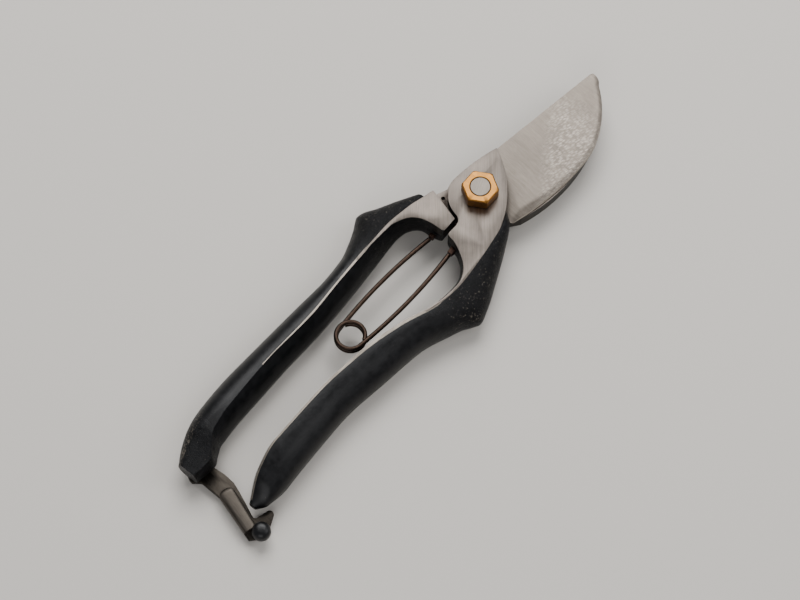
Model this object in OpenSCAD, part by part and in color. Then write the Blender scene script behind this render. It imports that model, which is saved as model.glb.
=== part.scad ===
// Hand-forged bypass pruning shears, closed and latched, lying flat on Z = 0.
// The pivot axis is X = Y = 0; the blade points along +X, the left handle lies at +Y.

/* [Levels] */
// height of the flat boss and of the handles' top ridges
top_z = 14.5; // [13.5:0.5:16]
// underside of the blade half's upper lap
lap_z = 9.8; // [9:0.1:10]
// underside of the hook half's lower lap
low_z = 4.5; // [4:0.1:5]
// gap between faces that slide on one another
slide = 0.3; // [0.2:0.05:0.4]

/* [Blade] */
// reach of the blade's tip from the pivot
blade_reach = 60.5; // [56:0.5:64]
// thickness of the blade along its straight spine
spine_t = 3.7; // [3:0.1:4.2]
// thickness left behind the cutting edge
edge_t = 1.0; // [0.6:0.1:1.6]

/* [Pivot] */
// diameter of the bolt
bolt_d = 7; // [6:0.5:8]
// radial clearance of the bolt in its bores
fit = 0.05; // [0.02:0.01:0.1]
// brass nut across its flats
nut_af = 11.4; // [9:0.2:12]
// height of the nut
nut_h = 4.9; // [4:0.1:6]
// diameter of the bolt's round head
head_d = 13; // [11:0.5:15]
// turn of the nut about the bolt
nut_turn = 59; // [0:1:59]

/* [Handles] */
// greatest width of a grip
grip_w = 12.6; // [11:0.2:14]
// how far a guard stands out from the pivot's centre line
guard_y = 28.4; // [26:0.2:30]
// length of the left handle from the pivot
left_len = 137.6; // [134:0.2:140]
// length of the right handle from the pivot
right_len = 132.4; // [130:0.2:133]

/* [Spring] */
// diameter of the spring wire
wire_d = 1.6; // [1.1:0.1:1.7]
// radius of the coil at the wire's centre
coil_r = 4.9; // [4:0.1:5.2]
// distance of the coil's centre behind the pivot
coil_reach = 66.7; // [60:0.5:70]
// radius that each leg is bowed to
leg_r = 190; // [150:10:400]

/* [Latch] */
// thickness of the lever's plate
lever_t = 1.8; // [1.4:0.1:2]
// height of the raised bar above the plate
bar_h = 2.6; // [2:0.1:3]
// diameter of the knob
knob_d = 6.4; // [5:0.2:7]
// diameter of the latch's rivet
rivet_d = 3.6; // [3:0.2:4]

/* [Hidden] */
$fn = 64;

bolt_r = bolt_d / 2;
plate_top = lap_z - slide;
nut_z = top_z + slide;
lap_r = 11.6;
bow_x = -19;
coil_low_z = 6.9;
coil_high_z = coil_low_z + wire_d + 0.35;
left_seat = [-21.6, 4.6];
right_seat = [-22.9, -4.7];
coil_at = [-coil_reach, 2.5];
rivet_at = [-134, 11.5];
rivet_head_t = 0.9;
lever_z = rivet_head_t + slide;
end_z = lever_z + lever_t + slide;
knob_at = [-136.9, -17.6];
knob_h = 4.4;
rivet_shank = 7.6;
ground_w = 25;
nut_chamfer = 0.5;
ring_turn = 330;

// ---- curve helpers ----
// points of the circle through a, b and c, from a to c
function circum(a, b, c) =
    let (d = 2 * (a.x * (b.y - c.y) + b.x * (c.y - a.y) + c.x * (a.y - b.y)),
         a2 = a * a, b2 = b * b, c2 = c * c)
    [(a2 * (b.y - c.y) + b2 * (c.y - a.y) + c2 * (a.y - b.y)) / d,
     (a2 * (c.x - b.x) + b2 * (a.x - c.x) + c2 * (b.x - a.x)) / d];
function wrap(t) = t - 360 * floor(t / 360);
function arc(a, b, c, n) =
    let (m = circum(a, b, c), r = norm(a - m),
         ta = atan2(a.y - m.y, a.x - m.x),
         turn = wrap(atan2(c.y - m.y, c.x - m.x) - ta),
         mid = wrap(atan2(b.y - m.y, b.x - m.x) - ta),
         sweep = mid < turn ? turn : turn - 360)
    [for (i = [0:n]) m + r * [cos(ta + sweep * i / n), sin(ta + sweep * i / n)]];
// value at x of a smooth curve through rows [x, value], x falling from row to row
function slope(k, i) =
    i == 0 ? (k[1][1] - k[0][1]) / (k[1][0] - k[0][0])
    : i == len(k) - 1 ? (k[i][1] - k[i-1][1]) / (k[i][0] - k[i-1][0])
    : let (s = (k[i][1] - k[i-1][1]) / (k[i][0] - k[i-1][0]),
           t = (k[i+1][1] - k[i][1]) / (k[i+1][0] - k[i][0]))
      s * t <= 0 ? 0 : 2 * s * t / (s + t);
function span(k, x, i = 0) = i >= len(k) - 2 || x >= k[i+1][0] ? i : span(k, x, i + 1);
function smooth(k, x) =
    let (i = span(k, x), h = k[i+1][0] - k[i][0], t = (x - k[i][0]) / h,
         m0 = slope(k, i) * h, m1 = slope(k, i + 1) * h)
    (2*t*t*t - 3*t*t + 1) * k[i][1] + (t*t*t - 2*t*t + t) * m0
    + (3*t*t - 2*t*t*t) * k[i+1][1] + (t*t*t - t*t) * m1;

// ---- blade half ----
module boss_outline() {
    polygon(concat(
        arc([17.2, 6.2], [5.2, -8], [-7, -13.9], 14),
        [[-13.3, -14.6], [bow_x, -15.2], [bow_x, -1.1], [-14.6, -1.2]],
        arc([-13.2, -0.9], [-12.2, -0.1], [-11.6, 1.2], 4),
        arc([-11.3, 2.2], [-8.2, 7.4], [-1.8, 10], 8),
        arc([0.4, 10], [9, 8.6], [17.2, 6.2], 4)));
}

module blade_outline() {
    tip = [blade_reach, -1.2];
    polygon(concat(
        [[17, 6.3], tip],
        arc(tip + [1.5, -0.6], tip + [1.4, -2.4], tip + [0.4, -4.2], 4),
        arc([59.6, -6.4], [50.6, -14.6], [38, -19.6], 10),
        arc([35.4, -19.9], [18.6, -19.1], [0.4, -14.9], 10),
        [[-0.3, -14.4], [-0.4, -13.5], [2.4, -9.4]]));
}

module blade() {
    rake = atan2(spine_t - edge_t, ground_w);
    color("silver")
    difference() {
        translate([0, 0, lap_z]) linear_extrude(spine_t) blade_outline();
        translate([0, 0, lap_z - 1]) linear_extrude(spine_t + 2) boss_outline();
        // broad ground face falling from the spine to the edge
        translate([17, 5.5, lap_z + spine_t]) rotate([0, 0, -9.6]) rotate([rake, 0, 0])
            translate([-30, -60, 0]) cube([120, 60, 10]);
    }
}

module blade_boss() {
    color("gainsboro")
    difference() {
        translate([0, 0, lap_z]) linear_extrude(top_z - lap_z) boss_outline();
        cylinder(h = 30, r = bolt_r + fit);
    }
}

// ---- lofted handles ----
// one slice of a handle: im/it inner middle and top, ot/om outer top and middle, z0/z1 heights
module slice(x, im, it, ot, om, z0, z1) {
    zm = z0 + 0.45 * (z1 - z0);
    bi = im + 0.38 * (om - im);
    bo = im + 0.62 * (om - im);
    q = 5;
    translate([x, 0, 0]) rotate([90, 0, 90]) linear_extrude(0.05)
        polygon(concat(
            [for (i = [0:q]) [it + (im - it) * (1 - cos(90 * i / q)), z1 + (zm - z1) * sin(90 * i / q)]],
            [for (i = [1:q]) [bi + (im - bi) * cos(90 * i / q), zm + (z0 - zm) * sin(90 * i / q)]],
            [for (i = [0:q]) [bo + (om - bo) * sin(90 * i / q), z0 + (zm - z0) * (1 - cos(90 * i / q))]],
            [for (i = [1:q]) [ot + (om - ot) * cos(90 * i / q), zm + (z1 - zm) * sin(90 * i / q)]]));
}

// slices joined pairwise; each k is a table of rows [x, value]
module loft(xs, im, it, ot, om, z0, z1) {
    for (i = [0:len(xs) - 2]) hull() {
        for (x = [xs[i], xs[i + 1]])
            slice(x, smooth(im, x), smooth(it, x), smooth(ot, x), smooth(om, x),
                  smooth(z0, x), smooth(z1, x));
    }
}

function steps(a, b, n) = [for (i = [0:n - 1]) a + (b - a) * i / n];

module right_handle() {
    e = -right_len;
    color("dimgray")
    difference() {
        loft(
            concat(steps(1.3, -3, 2), steps(-3, -19, 8), steps(-19, -31, 10), steps(-31, -44, 7),
                   steps(-44, -112, 11), steps(-112, e, 8), [e]),
            [[1.3, -9.4], [-3, -12.4], [-9, -12], [-13, -9.5], [-16, -4], [-19, -1.2], [-19.9, -4.7],
             [-21.8, -8.2], [-24, -10.8], [-27, -12.4], [-31, -13], [-40, -12.2], [-55, -7], [-70, -3.6],
             [-92, -1.6], [-112, -1.4], [-122, -3.4], [e, -8.6]],
            [[1.3, -9.5], [-3, -12.6], [-9, -12.6], [-13, -10], [-16, -4.2], [-19, -1.2], [-19.9, -4.7],
             [-21.8, -8.4], [-24, -11.6], [-27, -14], [-31, -15.2], [-40, -14.2], [-55, -8.8], [-70, -5.2],
             [-92, -3.1], [-112, -3], [-122, -4.8], [e, -9]],
            [[1.3, -10.3], [-3, -13.3], [-9, -14.2], [-19, -15.4], [-31, -16.2], [-40, -15.2], [-55, -9.9],
             [-70, -6.2], [-92, -3.8], [-112, -3.6], [-122, -5.4], [e, -9.5]],
            [[1.3, -11], [-0.5, -13.4], [-3, -15.4], [-9, -18.4], [-19, -22.8],
             [-31, -guard_y + 0.9], [-34.6, -guard_y], [-36.6, -guard_y + 1],
             [-40, -25], [-44, -23.2], [-55, -19],
             [-70, -16.8], [-92, -1.6 - grip_w], [-112, -14.6], [-122, -15], [-129, -14], [e, -11.4]],
            [[1.3, lap_z], [-3, lap_z - 2], [-9, 4], [-19, 1.4], [-31, 0.3], [-55, 0], [-112, 0], [-121, 0.4],
             [-128.4, end_z + 0.1], [e, end_z + 0.4]],
            [[1.3, 11.2], [-3, top_z - 0.6], [-9, top_z], [-55, top_z], [-112, top_z],
             [-124, 12.6], [e, end_z + 3.6]]);
        translate([0, 0, lap_z - 0.001]) linear_extrude(10) boss_outline();
        translate([0, 0, lap_z - 0.001]) linear_extrude(10) blade_outline();
        translate([0, 0, -5]) cylinder(h = lap_z + 5, r = lap_r + 0.6);
        // room for the hook's root as the shears open
        translate([0, 0, -5]) linear_extrude(lap_z + 5)
            polygon([[5, 0], [0, 0], [-7.8, -9.6], [-7, -11.5], [-5.9, -14], [-5.1, -16.2], [-4.8, -18],
                     [5, -20]]);
    }
}

module left_handle() {
    e = -left_len;
    color("dimgray")
    difference() {
        union() {
            loft(
                concat(steps(-13, -19, 4), steps(-19, -31, 12), steps(-31, -48, 8),
                       steps(-48, -118, 11), steps(-118, e, 10), [e]),
                [[-13, 0.6], [-19, 0.7], [-19.2, 5], [-20.2, 8.6], [-22.2, 11.2], [-25, 12.8],
                 [-29, 13.4], [-40, 12.8], [-55, 12], [-70, 11.6], [-92, 12.2], [-112, 12.2], [-122, 11.4],
                 [-127, 9.4], [-130, 8], [e, 9.2]],
                [[-13, 0.6], [-19, 0.8], [-19.2, 5.2], [-20.2, 9.6], [-22.2, 12.7], [-25, 14.6],
                 [-29, 16], [-40, 16.6], [-55, 16], [-70, 15.4], [-92, 16.8], [-112, 16.4], [-122, 15],
                 [-127, 11.6], [-130, 9.6], [e, 10.4]],
                [[-13, 14.1], [-19, 15.8], [-31, 17.4], [-40, 17.4], [-55, 17], [-70, 16.4],
                 [-92, 17.2], [-112, 17.6], [-122, 18], [-130, 17.2], [e, 15]],
                [[-13, 17.6], [-19, 21.9], [-25, 25.6], [-30.2, guard_y + 0.5], [-31.6, guard_y + 0.7],
                 [-33, guard_y], [-36.4, 26.6], [-41, 24.8], [-48, 22.8],
                 [-57, 12.2 + 0.8 * grip_w], [-70, 23.2], [-92, 11.9 + grip_w],
                 [-107, 12.6 + grip_w], [-118, 24.8], [-126, 23.2], [-132, 20.8], [e, 17.4]],
                [[-13, low_z], [-19, 2.2], [-31, 0.3], [-48, 0], [-112, 0], [-120, 0.6], [-126, end_z],
                 [e, end_z]],
                [[-13, top_z], [-55, top_z], [-112, top_z], [-122, 13.8], [-130, 12], [e, 11]]);
            // slanted front of the stop block, standing on the lower lap
            translate([0, 0, plate_top]) linear_extrude(top_z - plate_top)
                polygon([[-9.2, 13.1], [-12.9, 0.6], [-15, 0.6], [-15, 12], [-13.02, 14.1]]);
        }
        // seat of the rivet in the handle's turned-in end
        translate([rivet_at.x, rivet_at.y, -1]) cylinder(h = 10, r = rivet_d / 2 + 0.2, $fn = 24);
    }
}

// ---- hook half's lower lap and hook ----
module lap_outline() {
    circle(r = lap_r);
    // shoulder that runs back under the stop block
    polygon([[-3.4, 10.6], [-9.3, 13.3], [-12.9, 14.4], [-12.9, 0.6], [-8, -4], [3, 0]]);
}

module hook_outline() {
    polygon(concat(
        arc([11.2, -2.2], [27, -10.8], [50.2, -13.2], 12),
        arc([50.6, -13.9], [50.4, -14.6], [49.6, -15.1], 3),
        arc([48, -15.6], [27, -19.9], [3.2, -15.8], 12),
        [[-6, -8.5], [-3, 0], [6, 4]]));
}

module hook_plate() {
    color("gray")
    difference() {
        translate([0, 0, low_z]) {
            linear_extrude(plate_top - low_z) lap_outline();
            linear_extrude(plate_top - low_z) hook_outline();
        }
        cylinder(h = 30, r = bolt_r + fit);
        // small drilled oil hole
        translate([-7.6, 9.9, 0]) cylinder(h = 30, r = 0.7, $fn = 24);
    }
}

// ---- pivot ----
module pivot_bolt() {
    color("silver") {
        cylinder(h = low_z, d = head_d);
        translate([0, 0, low_z]) cylinder(h = nut_z + nut_h - low_z, r = bolt_r);
    }
}

module pivot_nut() {
    color("goldenrod")
    difference() {
        translate([0, 0, nut_z]) intersection() {
            rotate([0, 0, nut_turn]) cylinder(h = nut_h, d = nut_af / cos(30), $fn = 6);
            union() {
                cylinder(h = nut_h - nut_chamfer, d = nut_af * 1.3);
                translate([0, 0, nut_h - nut_chamfer])
                    cylinder(h = nut_chamfer, d1 = nut_af * 1.16, d2 = nut_af * 1.06);
            }
        }
        cylinder(h = 40, r = bolt_r + fit);
    }
}

// ---- spring ----
// a bowed leg from a seat, running tangentially into the ring around the coil's centre
module leg(seat, side, z) {
    reach = norm(seat - coil_at);
    away = atan2(seat.y - coil_at.y, seat.x - coil_at.x);
    back = leg_r - coil_r;
    at_coil = acos((reach * reach + back * back - leg_r * leg_r) / (2 * reach * back));
    bend = acos((back * back + leg_r * leg_r - reach * reach) / (2 * back * leg_r));
    foot = away - side * at_coil + 180;
    translate([coil_at.x, coil_at.y, z]) rotate([0, 0, foot]) {
        translate([-back, 0, 0]) rotate([0, 0, side > 0 ? -bend : 0]) rotate_extrude(angle = bend)
            translate([leg_r, 0]) circle(d = wire_d, $fn = 32);
        rotate([0, 0, side > 0 ? 0 : -ring_turn]) rotate_extrude(angle = ring_turn)
            translate([coil_r, 0]) circle(d = wire_d, $fn = 32);
    }
}

module spring_coil() { color("saddlebrown") leg(left_seat, 1, coil_low_z); }
module spring_leg() { color("saddlebrown") leg(right_seat, -1, coil_high_z); }

// square stud that stands on a bow's inner wall; near and far are the wall's X at its two sides
module seat(at, z, near, far) {
    w = 1.1;
    translate([0, 0, z - w]) linear_extrude(2 * w)
        polygon([[at.x + 0.4, at.y - w], [near, at.y - w], [far, at.y + w], [at.x + 0.4, at.y + w]]);
}
module left_spring_seat() {
    color("sienna") seat(left_seat, coil_low_z, -19.42, -19.7);
}
module right_spring_seat() {
    color("sienna") seat(right_seat, coil_high_z, -20.4, -19.8);
}

// ---- latch ----
module lever_outline() {
    translate(rivet_at) circle(r = 4.2);
    polygon([rivet_at + [-4.2, 0], rivet_at + [4.2, 0], [-129.2, 5], [-129.5, 0.7], [-131.4, -4.4],
             [-134.3, -11], [-134.4, -12.5], [-133.6, -13], [-129.3, -14.4], [-128.9, -15.3],
             [-129.5, -16.6], [-133.4, -18.2], [-139, -18], [-141.4, -15.8], [-136.4, 1.1], [-136.2, 8.9]]);
}

// bar that fills the lever's lower arm, with an arched top end
module bar_outline() {
    polygon(concat(arc([-136.3, 0.7], [-132.6, 2], [-130.5, -0.8], 8),
                   [[-131.8, -4.4], [-136.2, -13.8], [-141, -15.2]]));
}

module latch_lever() {
    color("lightgray")
    difference() {
        union() {
            translate([0, 0, lever_z]) linear_extrude(lever_t) lever_outline();
            translate([0, 0, lever_z + lever_t - 0.4]) linear_extrude(bar_h + 0.4) bar_outline();
        }
        translate([rivet_at.x, rivet_at.y, 0]) cylinder(h = 20, r = rivet_d / 2 + fit);
    }
}

module latch_knob() {
    color("black") translate([knob_at.x, knob_at.y, lever_z + lever_t + 0.01])
        cylinder(h = knob_h, d = knob_d);
}

module latch_rivet() {
    color("gray") translate([rivet_at.x, rivet_at.y, 0]) {
        cylinder(h = rivet_head_t, d = rivet_d + 2.6);
        translate([0, 0, rivet_head_t]) cylinder(h = rivet_shank, d = rivet_d);
    }
}

blade();
blade_boss();
right_handle();
right_spring_seat();
hook_plate();
left_handle();
left_spring_seat();
pivot_bolt();
pivot_nut();
spring_coil();
spring_leg();
latch_lever();
latch_knob();
latch_rivet();
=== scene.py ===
# %% [markdown]
# # Hand-forged pruning shears
# The shears are two steel forgings that cross at a bolt: a curved blade with its handle, and a hook
# with the other handle. A wire spring pushes the handles open and a small latch holds them shut.
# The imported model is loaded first, as a fixed frame. It says where every piece is, so all the
# detailed pieces are drawn straight into place in the same frame, in millimetres turned to metres.

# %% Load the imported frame
import bpy
import bmesh
import math
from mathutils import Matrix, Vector


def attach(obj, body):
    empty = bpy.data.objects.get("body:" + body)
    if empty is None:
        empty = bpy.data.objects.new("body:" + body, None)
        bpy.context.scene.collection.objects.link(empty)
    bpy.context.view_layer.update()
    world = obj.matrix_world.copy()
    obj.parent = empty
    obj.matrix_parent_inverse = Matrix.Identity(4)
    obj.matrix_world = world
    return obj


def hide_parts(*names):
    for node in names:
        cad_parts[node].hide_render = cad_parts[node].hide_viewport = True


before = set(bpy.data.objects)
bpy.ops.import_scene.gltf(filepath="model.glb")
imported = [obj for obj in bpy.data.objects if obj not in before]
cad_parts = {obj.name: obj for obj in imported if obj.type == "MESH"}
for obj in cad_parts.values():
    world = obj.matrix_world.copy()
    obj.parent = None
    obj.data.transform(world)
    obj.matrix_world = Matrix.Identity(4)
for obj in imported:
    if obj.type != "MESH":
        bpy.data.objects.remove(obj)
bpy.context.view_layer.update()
MM = 0.001
print("nodes:", sorted(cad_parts))

# %% [markdown]
# ## Camera and light
# The shears lie on a table and are seen from a little over 65 degrees above it, from the side of
# the right handle. A long lens keeps the perspective weak. The light is one big soft box high on
# the far side, with a weaker one near the camera, so the flats stay bright and the black lacquer
# gets long soft highlights.

# %% Camera
def looking_back(azimuth, elevation):
    """Unit vector from the target to the camera."""
    a, e = math.radians(azimuth), math.radians(elevation)
    return Vector((math.sin(a) * math.cos(e), -math.cos(a) * math.cos(e), math.sin(e)))


def aim(thing, target):
    """Turn a camera or a lamp so that its -Z axis points at the target."""
    thing.rotation_euler = (Vector(target) - thing.location).to_track_quat("-Z", "Y").to_euler()


VIEW_TARGET = Vector((-46.6, -2.6, 10.0)) * MM
camera_data = bpy.data.cameras.new("camera")
camera_data.lens = 100.0
camera_data.sensor_width = 36.0
camera_data.clip_start, camera_data.clip_end = 0.01, 20.0
camera = bpy.data.objects.new("camera", camera_data)
camera.location = VIEW_TARGET + looking_back(-51.0, 67.2) * 0.750
aim(camera, VIEW_TARGET)
bpy.context.scene.collection.objects.link(camera)
bpy.context.scene.camera = camera
print("camera at", [round(v, 3) for v in camera.location])

# %% Lights
def soft_box(name, azimuth, elevation, distance, size, watts, target=VIEW_TARGET):
    """A square area lamp on a sphere around the shears."""
    lamp = bpy.data.lights.new(name, "AREA")
    lamp.shape, lamp.size, lamp.size_y = "RECTANGLE", size[0], size[1]
    lamp.energy = watts
    thing = bpy.data.objects.new(name, lamp)
    thing.location = target + looking_back(azimuth, elevation) * distance
    aim(thing, target)
    bpy.context.scene.collection.objects.link(thing)
    return thing


soft_box("window_light", 128.0, 52.0, 1.1, (0.9, 0.7), 16.0)
soft_box("fill_light", -60.0, 35.0, 1.3, (0.8, 0.8), 5.0)
soft_box("side_light", 40.0, 40.0, 1.2, (0.5, 0.9), 5.0)
world = bpy.data.worlds.new("studio")
bpy.context.scene.world = world
world.use_nodes = True
world.node_tree.nodes["Background"].inputs["Color"].default_value = (0.82, 0.84, 0.88, 1.0)
world.node_tree.nodes["Background"].inputs["Strength"].default_value = 0.35

# %% [markdown]
# ## Materials
# Every colour is an sRGB hex value turned to linear by one function, and one function adds a node
# to a material with its settings and its links. Patterns read Object coordinates, which are metres,
# so a noise scale is simply 1000 divided by the size of a mark in millimetres.

# %% Colour and node helpers
def linear(hex_value):
    """An sRGB hex colour as linear RGBA."""
    parts = [int(hex_value[i:i + 2], 16) / 255.0 for i in (1, 3, 5)]
    return tuple(p / 12.92 if p <= 0.04045 else ((p + 0.055) / 1.055) ** 2.4 for p in parts) + (1.0,)


def add(tree, kind, values=None, links=None, **settings):
    """Add one node: its settings, its input values and the sockets linked into it."""
    made = tree.nodes.new(kind)
    for key, value in settings.items():
        setattr(made, key, value)
    for key, value in (values or {}).items():
        made.inputs[key].default_value = value
    for key, source in (links or {}).items():
        tree.links.new(source, made.inputs[key])
    return made


def combined(tree, first, second, operation="MULTIPLY"):
    """The socket of a Math node that joins two value sockets."""
    made = add(tree, "ShaderNodeMath", None, {0: first, 1: second}, operation=operation)
    return made.outputs["Value"]


def between(tree, value, zero_at, one_at, low=0.0, high=1.0):
    """A value that runs from low to high while its source runs from zero_at to one_at."""
    made = add(tree, "ShaderNodeMapRange", {"From Min": zero_at, "From Max": one_at,
                                           "To Min": low, "To Max": high}, {"Value": value})
    return made.outputs["Result"]


def start_material(name, metallic, roughness):
    """A new material with its Principled shader, ready for a pattern."""
    material = bpy.data.materials.new(name)
    material.use_nodes = True
    shader = material.node_tree.nodes["Principled BSDF"]
    shader.inputs["Metallic"].default_value = metallic
    shader.inputs["Roughness"].default_value = roughness
    return material, material.node_tree, shader


def ramp_colours(made, stops):
    """Set a colour ramp's stops from (position, hex) pairs."""
    elements = made.color_ramp.elements
    while len(elements) < len(stops):
        elements.new(0.5)
    for element, (position, colour) in zip(elements, stops):
        element.position = position
        element.color = linear(colour) if isinstance(colour, str) else (colour, colour, colour, 1.0)


def blotches(tree, place, mark_mm, detail, roughness=0.5):
    """The value of an even noise whose marks are about mark_mm wide."""
    made = add(tree, "ShaderNodeTexNoise",
               {"Scale": 1.0 / (mark_mm * MM), "Detail": detail, "Roughness": roughness},
               {"Vector": place.outputs["Object"]})
    return made.outputs["Fac"]


def scratch_field(tree, turn_deg, along_mm, across_mm, detail=4.0):
    """Long thin noise: grinding marks that run at turn_deg in the plane of the table."""
    place = add(tree, "ShaderNodeTexCoord")
    turned = add(tree, "ShaderNodeMapping", {"Rotation": (0.0, 0.0, math.radians(-turn_deg))},
                 {"Vector": place.outputs["Object"]})
    stretched = add(tree, "ShaderNodeMapping",
                    {"Scale": (1.0 / (along_mm * MM), 1.0 / (across_mm * MM), 1.0 / (across_mm * MM))},
                    {"Vector": turned.outputs["Vector"]})
    return add(tree, "ShaderNodeTexNoise", {"Scale": 1.0, "Detail": detail, "Roughness": 0.65},
               {"Vector": stretched.outputs["Vector"]})


# %% [markdown]
# Ground carbon steel: the blade is finished on a fine wheel, so it is a satin metal whose marks run
# nearly square to the spine. The eye sees a broad soft sheen with faint fine lines in it, a few
# longer scratches, and slightly darker clouds where oil has stained it.

# %% Ground steel finishes
def wheel_ripples(tree, place):
    """Short ripples that the wheel left on the outer half of the blade, beyond a slanted line."""
    outward = add(tree, "ShaderNodeVectorMath", {1: (0.525, -0.851, 0.0)},
                  {0: place.outputs["Object"]}, operation="DOT_PRODUCT")
    zone = between(tree, outward.outputs["Value"], 18.5 * MM, 23.5 * MM)
    turned_place = add(tree, "ShaderNodeMapping", {"Rotation": (0.0, 0.0, math.radians(18.0))},
                       {"Vector": place.outputs["Object"]})
    cells = add(tree, "ShaderNodeMapping",
                {"Scale": (1.0 / (1.5 * MM), 1.0 / (0.62 * MM), 1.0 / (2.0 * MM))},
                {"Vector": turned_place.outputs["Vector"]})
    ripple = add(tree, "ShaderNodeTexVoronoi", {"Scale": 1.0, "Randomness": 0.8},
                 {"Vector": cells.outputs["Vector"]})
    crest = between(tree, ripple.outputs["Distance"], 0.66, 0.10)
    clump = scratch_field(tree, -15.0, 6.0, 3.5, 2.0)
    pressed = between(tree, clump.outputs["Fac"], 0.38, 0.60, 0.5)
    along = add(tree, "ShaderNodeSeparateXYZ", None, {"Vector": place.outputs["Object"]})
    towards_tip = between(tree, along.outputs["X"], 52.0 * MM, 42.0 * MM, 0.1)
    amount = combined(tree, combined(tree, zone, crest), pressed)
    return combined(tree, amount, towards_tip)


def ground_steel(name, turn_deg, light, dark, roughness, along_mm, across_mm, bump_mm, stain,
                 rippled=False):
    """Steel with two tones of grinding marks along turn_deg, faint stains and an uneven gloss."""
    material, tree, shader = start_material(name, 1.0, roughness)
    fine = scratch_field(tree, turn_deg, along_mm, across_mm)
    coarse = scratch_field(tree, turn_deg + 3.0, along_mm * 3.0, across_mm * 3.2, 2.0)
    place = add(tree, "ShaderNodeTexCoord")
    cloud = blotches(tree, place, 9.0, 5.0, 0.6)
    marks = add(tree, "ShaderNodeMix", {"Factor": 0.45},
                {"A": fine.outputs["Fac"], "B": coarse.outputs["Fac"]}, data_type="FLOAT")
    tone = add(tree, "ShaderNodeValToRGB", None, {"Fac": marks.outputs["Result"]})
    ramp_colours(tone, [(0.30, dark), (0.62, light)])
    stained = add(tree, "ShaderNodeValToRGB", None, {"Fac": cloud})
    ramp_colours(stained, [(0.38, 1.0 - stain), (0.60, 1.0)])
    colour = add(tree, "ShaderNodeMix", {"Factor": 1.0},
                 {"A": tone.outputs["Color"], "B": stained.outputs["Color"]},
                 data_type="RGBA", blend_type="MULTIPLY")
    gloss = between(tree, marks.outputs["Result"], 0.3, 0.7, roughness - 0.07, roughness + 0.1)
    tree.links.new(gloss, shader.inputs["Roughness"])
    bump = add(tree, "ShaderNodeBump", {"Strength": 0.55, "Distance": bump_mm * MM},
               {"Height": marks.outputs["Result"]})
    if rippled:
        amount = wheel_ripples(tree, place)
        shine = add(tree, "ShaderNodeMath", {1: 0.42}, {0: amount}, operation="MULTIPLY")
        colour = add(tree, "ShaderNodeMix", {"B": linear("#c3baae")},
                     {"Factor": shine.outputs["Value"], "A": colour.outputs[2]}, data_type="RGBA")
        bump = add(tree, "ShaderNodeBump", {"Strength": 0.6, "Distance": 0.025 * MM},
                   {"Height": amount, "Normal": bump.outputs["Normal"]})
    tree.links.new(colour.outputs[2], shader.inputs["Base Color"])
    tree.links.new(bump.outputs["Normal"], shader.inputs["Normal"])
    return material


def painted_corner_shade(material, x_mm, y_mm):
    """Painted shade: it darkens the corner left of x and below y, between the stop block and the boss."""
    tree = material.node_tree
    shader = tree.nodes["Principled BSDF"]
    unshaded = shader.inputs["Base Color"].links[0].from_socket
    place = add(tree, "ShaderNodeTexCoord")
    where = add(tree, "ShaderNodeSeparateXYZ", None, {"Vector": place.outputs["Object"]})
    low = between(tree, where.outputs["Y"], (y_mm + 1.2) * MM, (y_mm - 1.2) * MM)
    left = between(tree, where.outputs["X"], (x_mm + 1.5) * MM, (x_mm - 1.5) * MM)
    patchy = between(tree, blotches(tree, place, 1.6, 4.0), 0.35, 0.6, 0.7, 0.95)
    shade_cover = combined(tree, combined(tree, low, left), patchy)
    # painted shade: the corner is darkened towards a dark brown, in patches
    shaded = add(tree, "ShaderNodeMix", {"B": linear("#1d1815")}, {"Factor": shade_cover, "A": unshaded},
                data_type="RGBA")
    tree.links.new(shaded.outputs[2], shader.inputs["Base Color"])


# the wheel's marks are finer than 0.1 mm and are drawn about 0.3 mm wide, so that they show
BLADE_STEEL = ground_steel("carbon_steel_fine_ground", 84.0, "#7d756c", "#665f58", 0.37,
                           12.0, 0.30, 0.012, 0.14, rippled=True)
BEVEL_STEEL = ground_steel("carbon_steel_honed_edge", 62.0, "#a39b91", "#867f76", 0.30,
                           9.0, 0.6, 0.002, 0.08)
BOSS_STEEL = ground_steel("carbon_steel_belt_ground", 37.0, "#79716a", "#544e48", 0.44,
                          10.0, 0.28, 0.012, 0.2)
RIDGE_STEEL = ground_steel("ridge_steel_linished", 4.0, "#8f877d", "#6a635b", 0.40,
                           8.0, 0.30, 0.010, 0.25)
# dark steel for side faces and undersides: painted shade on the sides of the hook, the boss and the stop
# block; the rivet head uses it too
SHADE_DARK_STEEL = ground_steel("dark_steel_painted_for_shaded_sides", 12.0, "#403c38", "#23201e", 0.48,
                          5.0, 0.35, 0.02, 0.45)
BOLT_STEEL = ground_steel("bolt_steel_filed_flush", 20.0, "#7f7870", "#5e5851", 0.44,
                          5.0, 0.25, 0.02, 0.15)
LATCH_STEEL = ground_steel("latch_steel_rolled", 75.0, "#47423c", "#2a2622", 0.50,
                           4.0, 0.30, 0.015, 0.45)
BAR_STEEL = ground_steel("latch_bar_steel_filed", 75.0, "#5c564f", "#423d38", 0.52,
                         4.0, 0.30, 0.012, 0.18)
LAP_STEEL = ground_steel("lap_steel_ground_with_painted_corner_shade", 37.0, "#79716a", "#544e48", 0.44,
                         10.0, 0.28, 0.012, 0.2)
# painted shade on the lap floor, in the corner between the stop block and the boss
painted_corner_shade(LAP_STEEL, -3.0, 10.6)
print("steels made")

# %% [markdown]
# Black lacquer over a hammer forging: scale and hammer marks show through the thin coat near the
# pivot, where the steel is left rough, and the grips are rubbed smooth. The coat is a dielectric
# with soft gloss. Tiny chips let bare steel sparkle through, most of all on the rough part.

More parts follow.
